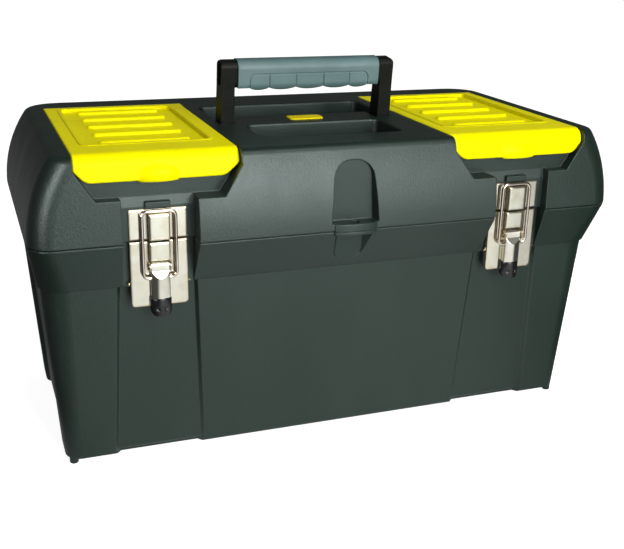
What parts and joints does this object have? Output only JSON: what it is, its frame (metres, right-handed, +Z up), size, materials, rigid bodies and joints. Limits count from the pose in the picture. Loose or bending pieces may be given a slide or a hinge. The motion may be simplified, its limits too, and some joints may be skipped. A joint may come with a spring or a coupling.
{
  "type": "tool case",
  "caption": "Plastic tool case with a barrel-sided lid, ribbed organiser covers, a folding carry handle, wire draw latches and a lift-out tray.",
  "frame": {"origin": "on the floor under the middle of the closed case", "axes": "+X along the length to the right seen from the front, +Y to the back where the lid's hinge is, +Z up"},
  "size_m": [0.49, 0.2699, 0.306],
  "materials": {
    "body_plastic": "dark moulded plastic, lightly grained",
    "tray_plastic": "dark moulded plastic",
    "cover_yellow": "satin yellow plastic",
    "badge_yellow": "satin yellow plastic, blank",
    "handle_plastic": "black plastic",
    "grip_rubber": "grey-blue soft rubber",
    "latch_plate": "bright nickel plate",
    "latch_lever": "bright nickel plate",
    "bail_wire": "bright nickel-plated wire",
    "pin_steel": "plain steel",
    "tip_plastic": "black plastic"
  },
  "bodies": {
    "tub": {"tub": "body_plastic", "hinge_pin_left": "pin_steel", "hinge_pin_right": "pin_steel", "latch_left_base": "latch_plate", "latch_left_pin": "pin_steel", "latch_right_base": "latch_plate", "latch_right_pin": "pin_steel"},
    "lid": {"lid_shell": "body_plastic", "badge_plate": "badge_yellow", "latch_left_keeper": "latch_plate", "latch_right_keeper": "latch_plate"},
    "cover_left": {"cover_left": "cover_yellow"},
    "cover_right": {"cover_right": "cover_yellow"},
    "handle": {"handle_frame": "handle_plastic", "handle_grip": "grip_rubber"},
    "tray": {"tray": "tray_plastic"},
    "lever_left": {"latch_left_lever": "latch_lever", "latch_left_tip": "tip_plastic"},
    "bail_left": {"latch_left_bail": "bail_wire"},
    "lever_right": {"latch_right_lever": "latch_lever", "latch_right_tip": "tip_plastic"},
    "bail_right": {"latch_right_bail": "bail_wire"}
  },
  "joints": [
    {"name": "lid_hinge", "type": "hinge", "parent": "tub", "child": "lid", "pos_m": [0, 0.1315, 0.188], "axis": [-1, 0, 0], "range_deg": [0, 105]},
    {"name": "cover_left_hinge", "type": "hinge", "parent": "lid", "child": "cover_left", "pos_m": [-0.14935, 0.0818, 0.2513], "axis": [-1, 0, 0], "range_deg": [0, 105]},
    {"name": "cover_right_hinge", "type": "hinge", "parent": "lid", "child": "cover_right", "pos_m": [0.14935, 0.0818, 0.2513], "axis": [-1, 0, 0], "range_deg": [0, 105]},
    {"name": "handle_fold", "type": "hinge", "parent": "lid", "child": "handle", "pos_m": [0, -0.0065, 0.242], "axis": [-1, 0, 0], "range_deg": [0, 96]},
    {"name": "latch_left_lever_turn", "type": "hinge", "parent": "tub", "child": "lever_left", "pos_m": [-0.1507, -0.1153, 0.1684], "axis": [-1, 0, 0], "range_deg": [0, 115]},
    {"name": "latch_left_bail_turn", "type": "hinge", "parent": "lever_left", "child": "bail_left", "pos_m": [-0.1507, -0.1153, 0.1594], "axis": [-1, 0, 0], "range_deg": [-115, 0]},
    {"name": "latch_right_lever_turn", "type": "hinge", "parent": "tub", "child": "lever_right", "pos_m": [0.1507, -0.1153, 0.1684], "axis": [-1, 0, 0], "range_deg": [0, 115]},
    {"name": "latch_right_bail_turn", "type": "hinge", "parent": "lever_right", "child": "bail_right", "pos_m": [0.1507, -0.1153, 0.1594], "axis": [-1, 0, 0], "range_deg": [-115, 0]},
    {"name": "tray_lift", "type": "slide", "parent": "tub", "child": "tray", "axis": [0, 0, 1], "range_m": [0, 0.02]}
  ],
  "couplings": [
    {"joint": "latch_left_bail_turn", "follows": "latch_left_lever_turn", "ratio": -1},
    {"joint": "latch_right_bail_turn", "follows": "latch_right_lever_turn", "ratio": -1}
  ]
}
